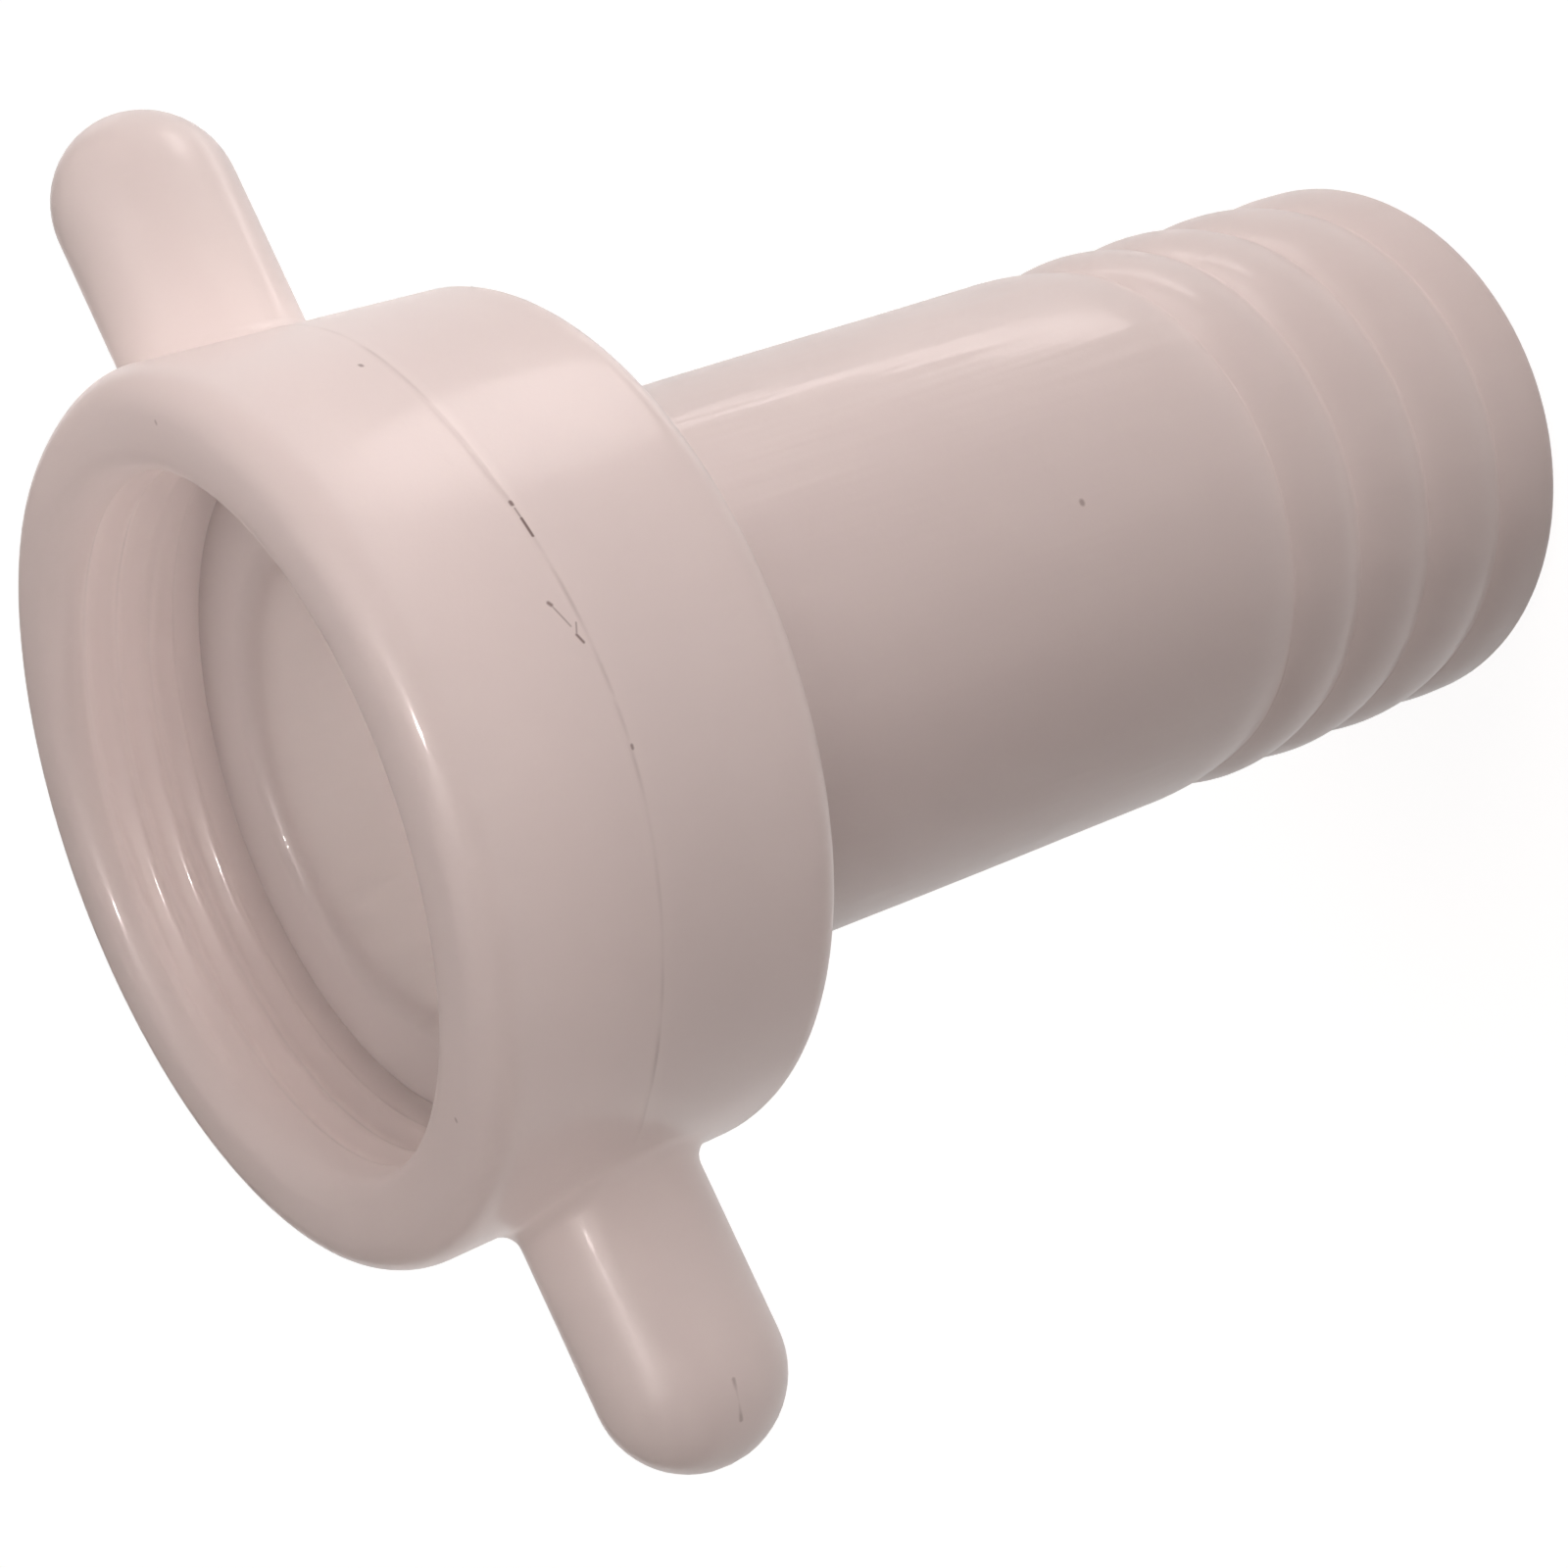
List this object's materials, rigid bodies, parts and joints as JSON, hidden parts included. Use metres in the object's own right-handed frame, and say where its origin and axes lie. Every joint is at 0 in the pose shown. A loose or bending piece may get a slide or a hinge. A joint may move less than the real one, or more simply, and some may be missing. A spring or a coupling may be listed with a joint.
{
  "type": "cap and tail fitting",
  "caption": "Lugged swivel cap with an internal thread, held by the flange of a long hose tail whose end carries soft barbs.",
  "frame": {"origin": "centre of the tail's end face, which is the part's lowest face as it stands on its tail", "axes": "+Z along the fitting's axis from the tail's end to the cap's mouth, the two hand lugs along X"},
  "size_m": [0.094, 0.0576, 0.1003],
  "materials": {
    "cap_plastic": "natural, satin as moulded",
    "tail_plastic": "natural, satin as moulded"
  },
  "bodies": {
    "tail": {"tail": "tail_plastic"},
    "cap": {"cap": "cap_plastic"}
  },
  "joints": [
    {"name": "cap_swivel", "type": "hinge", "parent": "tail", "child": "cap", "pos_m": [0, 0, 0.0844], "axis": [0, 0, 1], "continuous": true}
  ]
}
